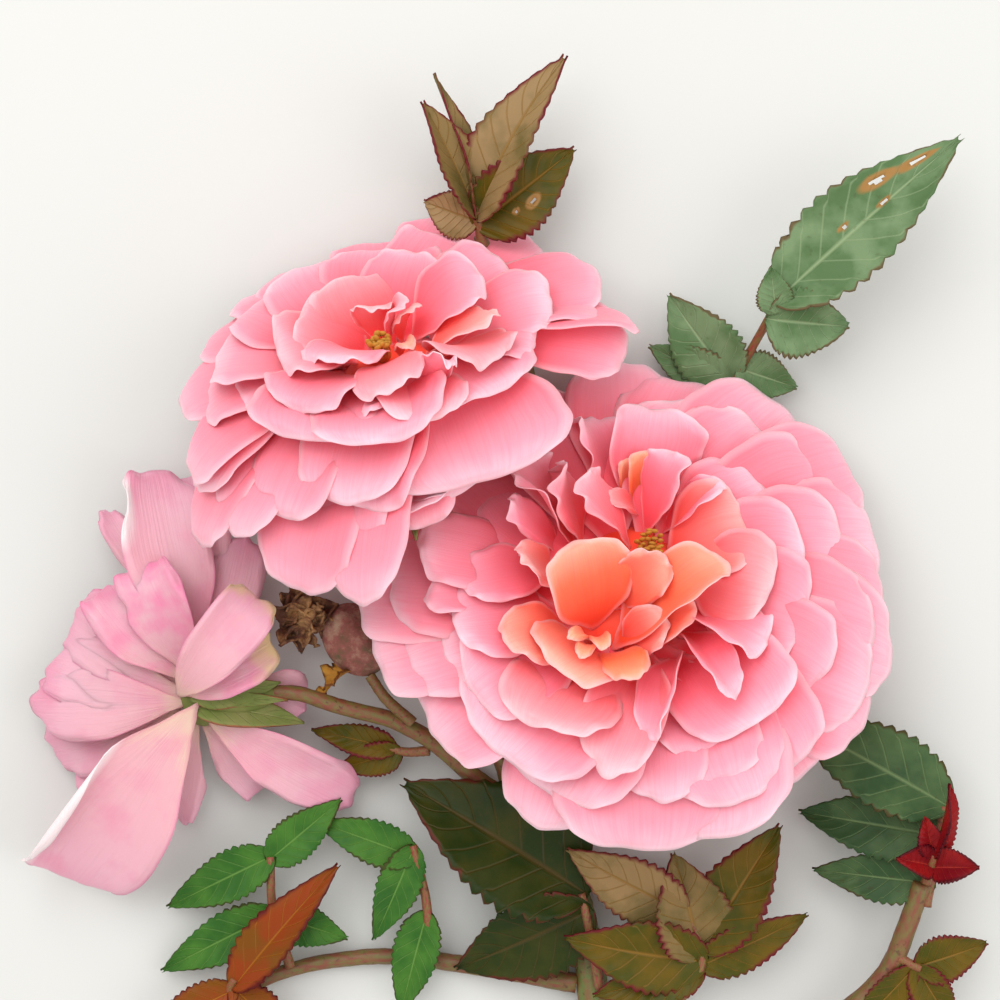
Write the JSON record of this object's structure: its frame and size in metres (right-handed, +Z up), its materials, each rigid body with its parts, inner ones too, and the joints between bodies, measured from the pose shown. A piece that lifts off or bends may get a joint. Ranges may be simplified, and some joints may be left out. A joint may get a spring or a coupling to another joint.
{
  "type": "cut rose spray",
  "caption": "Cut flowering spray of a shrub rose, lying down: full pink double blooms with apricot hearts, a spent bloom, a withered head, leaves and a prickly cane.",
  "frame": {"origin": "on the table, under the middle of the spray's box", "axes": "+Z up from the table, +Y from the cane's cut end towards the upper bloom and the top leaf, +X to the right as the picture shows it"},
  "size_m": [0.1617, 0.1769, 0.0497],
  "materials": {
    "cane": "satin green bark with dull red on the light side",
    "stalk": "satin, red-brown over green",
    "calyx": "matt green, stands in for leaf tissue",
    "stamens": "matt golden brown",
    "petals": "soft satin pink, apricot at the heart, paler at the rims",
    "spent_petals": "matt pale pink with deeper pink rims",
    "hip": "matt brown-green",
    "withered": "matt dry brown",
    "young_leaf": "glossy olive with purple-red rims",
    "mature_leaf": "satin grey-green",
    "bronze_leaf": "glossy orange-brown",
    "red_leaf": "glossy red"
  },
  "bodies": {
    "root": {"main_cane": "cane", "stalk_upper_bloom": "stalk", "stalk_lower_bloom": "stalk", "stalk_spent_bloom": "stalk", "stalk_withered_head": "stalk", "stalk_side_shoot": "stalk", "stalk_top_shoot": "stalk", "stalk_left_shoot": "stalk", "calyx_upper_bloom": "calyx", "calyx_lower_bloom": "calyx", "calyx_spent_bloom": "calyx", "stamens_upper_bloom": "stamens", "stamens_lower_bloom": "stamens", "upper_bloom": "petals", "lower_bloom": "petals", "spent_bloom": "spent_petals", "withered_hip": "hip", "withered_tuft": "withered", "leaf_top_shoot": "young_leaf", "leaf_upper_right": "mature_leaf", "leaf_lower_right": "mature_leaf", "leaf_dark": "mature_leaf", "leaf_young_low": "young_leaf", "leaf_bronze": "bronze_leaf", "leaf_left_low": "mature_leaf", "leaf_left_mid": "mature_leaf", "leaf_spent_stalk": "young_leaf", "leaf_side_shoot": "red_leaf", "leaf_side_low": "young_leaf"}
  },
  "joints": []
}
